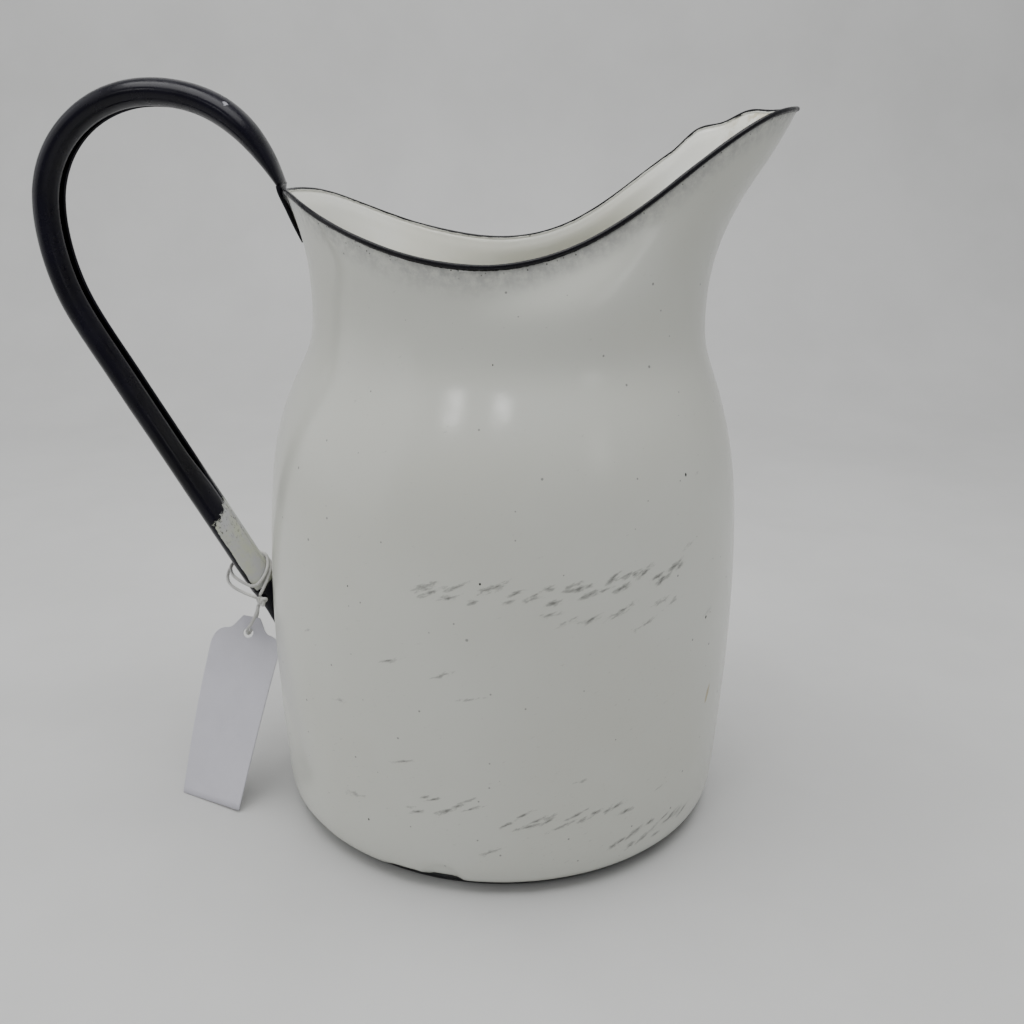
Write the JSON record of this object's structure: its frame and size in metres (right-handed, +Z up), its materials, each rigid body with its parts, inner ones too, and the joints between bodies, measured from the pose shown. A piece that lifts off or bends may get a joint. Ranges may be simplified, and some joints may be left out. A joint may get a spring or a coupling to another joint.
{
  "type": "water jug",
  "caption": "Tall enamelled steel jug with a flared pouring spout, a rolled rim, a hollow strap handle and a blank tag on a string.",
  "frame": {"origin": "on the body's axis, at the level of the surface that the base stands on", "axes": "+X towards the spout, -X towards the handle, +Y across the jug, +Z up"},
  "size_m": [0.2676, 0.178, 0.2684],
  "materials": {
    "white_enamel": "glossy vitreous enamel, scuffed",
    "base_enamel": "worn vitreous enamel",
    "black_trim": "glossy vitreous enamel",
    "handle_enamel": "glossy vitreous enamel, worn at its lower end",
    "cotton_string": "twisted",
    "tag_card": "matt"
  },
  "bodies": {
    "jug": {"body_shell": "white_enamel", "bottom_plate": "base_enamel", "rim_bead": "black_trim", "handle_strap": "handle_enamel", "upper_tab": "handle_enamel", "lower_foot": "handle_enamel", "string_loop": "cotton_string", "string_knot": "cotton_string"},
    "tag": {"string_strands": "cotton_string", "paper_tag": "tag_card"}
  },
  "joints": [
    {"name": "tag_swing", "type": "hinge", "parent": "jug", "child": "tag", "pos_m": [-0.0934, -0.0107, 0.079], "axis": [-0.9033, 0.4289, 0], "range_deg": [-2, 95]}
  ]
}
